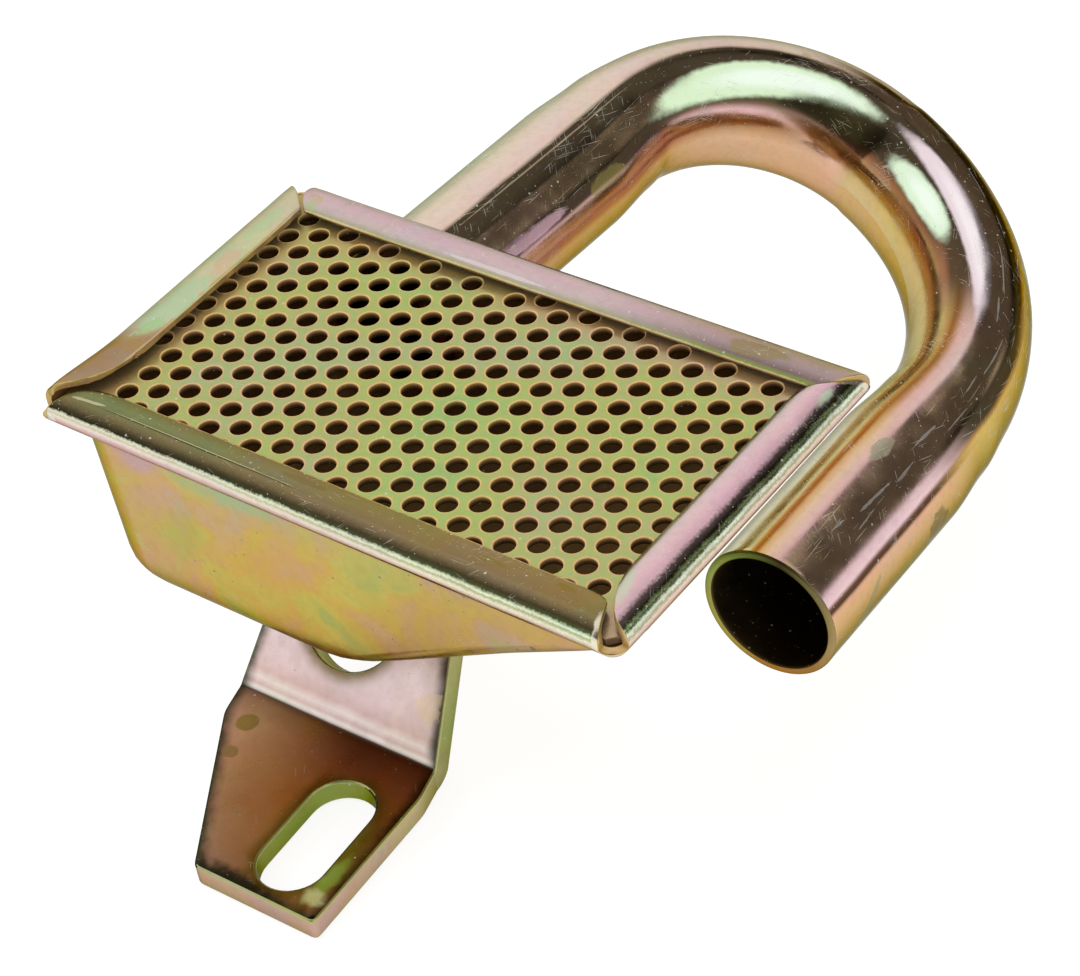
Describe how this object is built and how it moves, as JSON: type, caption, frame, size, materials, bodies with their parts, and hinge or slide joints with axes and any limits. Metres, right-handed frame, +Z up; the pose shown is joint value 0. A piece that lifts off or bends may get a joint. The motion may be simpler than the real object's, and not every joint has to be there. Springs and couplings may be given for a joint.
{
  "type": "oil pickup tube",
  "caption": "Oil pickup with a drawn pan and crimped perforated screen, a tube bent back past the pan, and a bent mounting bracket with a slot.",
  "frame": {"origin": "on the underside of the bracket's foot, beside the bolt slot", "axes": "+Z up out of the screen, square to the foot; +Y from the foot towards the wall that the tube leaves, along the tube's legs; +X along the pan's long side, from the tube's leg towards its mouth"},
  "size_m": [0.089, 0.1448, 0.0555],
  "materials": {
    "pan": "zinc plated, yellow passivated",
    "screen": "zinc plated, green-yellow passivated",
    "tube": "zinc plated, yellow passivated, bright",
    "bracket": "zinc plated, yellow passivated",
    "weld": "plated weld and braze"
  },
  "bodies": {
    "root": {"pan": "pan", "screen": "screen", "tube": "tube", "bracket": "bracket", "tube_weld": "weld", "bracket_weld_left": "weld", "bracket_weld_right": "weld"}
  },
  "joints": []
}
